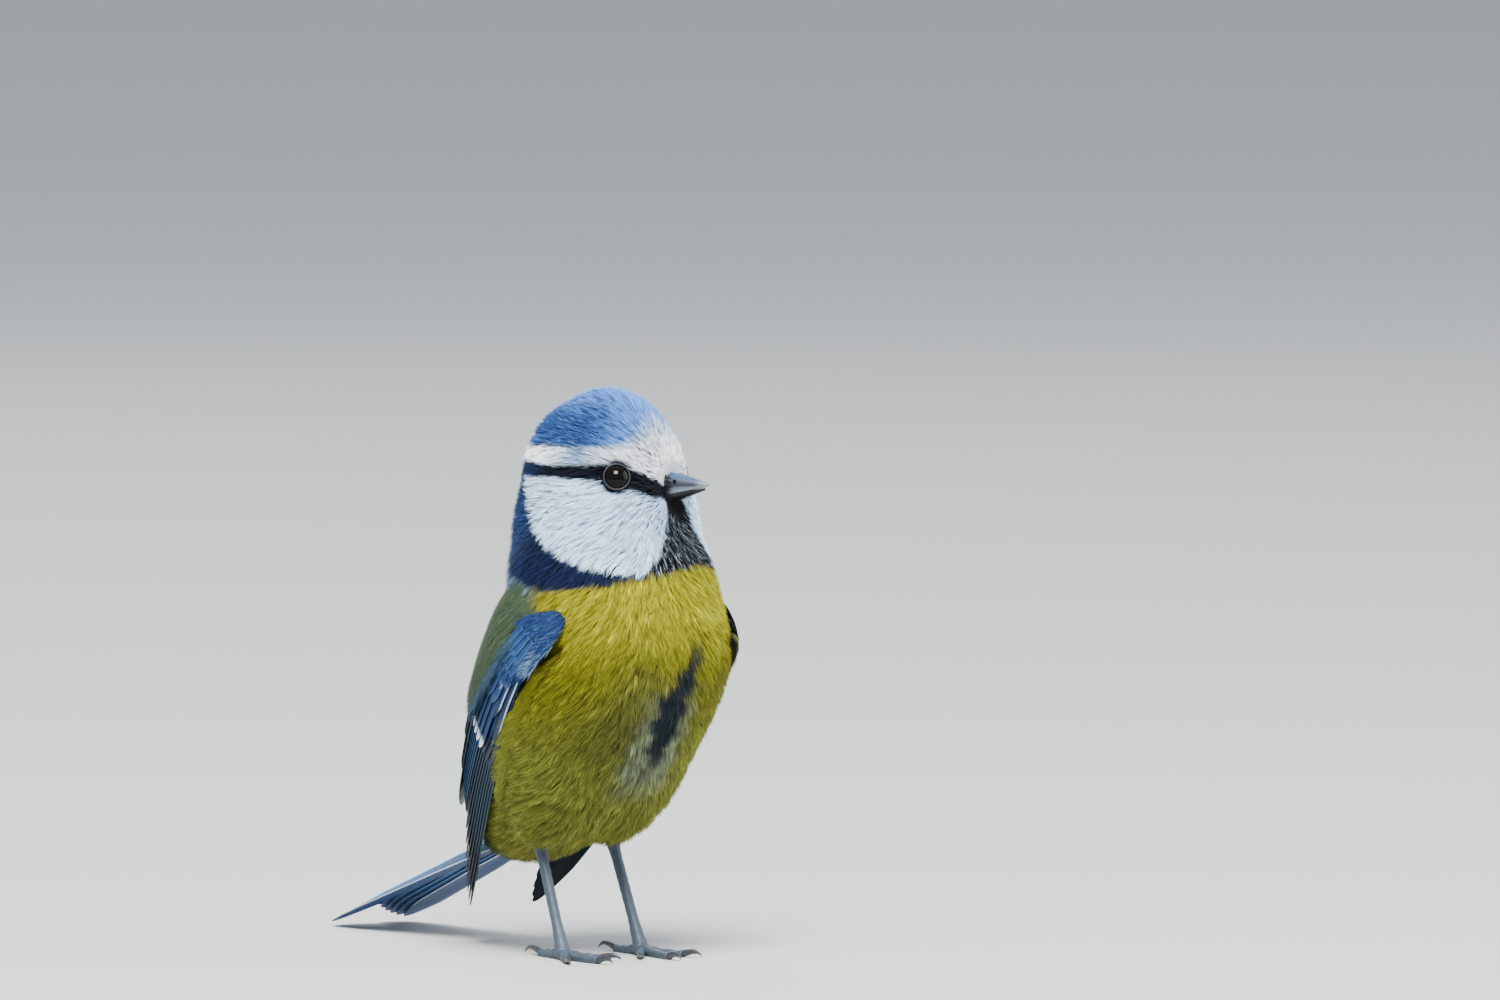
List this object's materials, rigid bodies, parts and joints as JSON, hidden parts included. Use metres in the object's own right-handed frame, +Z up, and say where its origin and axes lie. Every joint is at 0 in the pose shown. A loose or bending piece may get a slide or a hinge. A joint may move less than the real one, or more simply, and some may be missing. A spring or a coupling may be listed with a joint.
{
  "type": "blue tit model",
  "caption": "Life-size blue tit standing upright with its head turned to its left, wings folded and tail resting low.",
  "frame": {"origin": "centre of the bounding box in plan, on the floor that the toes stand on", "axes": "+Z up, -Y the way the breast faces, +X the bird's left side"},
  "size_m": [0.0384, 0.087, 0.0864],
  "materials": {
    "crown": "matt blue plumage",
    "face": "matt white plumage",
    "collar": "matt navy plumage",
    "breast": "matt olive-yellow plumage",
    "vent": "matt pale olive plumage",
    "wing": "satin blue feathers",
    "tail": "satin blue feathers",
    "leg": "blue-grey scaled skin",
    "claw": "dark horn",
    "bill": "blue-grey horn",
    "bill_under": "dark horn",
    "eye": "wet dark eye"
  },
  "bodies": {
    "root": {"crown": "crown", "face": "face", "neck": "collar", "torso": "breast", "rump": "vent", "bill_upper": "bill", "bill_lower": "bill_under", "eye_left": "eye", "eye_right": "eye", "wing_left": "wing", "wing_right": "wing", "tail": "tail", "leg_left": "leg", "leg_right": "leg", "claw_middle_left": "claw", "claw_inner_left": "claw", "claw_outer_left": "claw", "claw_hind_left": "claw", "claw_middle_right": "claw", "claw_inner_right": "claw", "claw_outer_right": "claw", "claw_hind_right": "claw"}
  },
  "joints": []
}
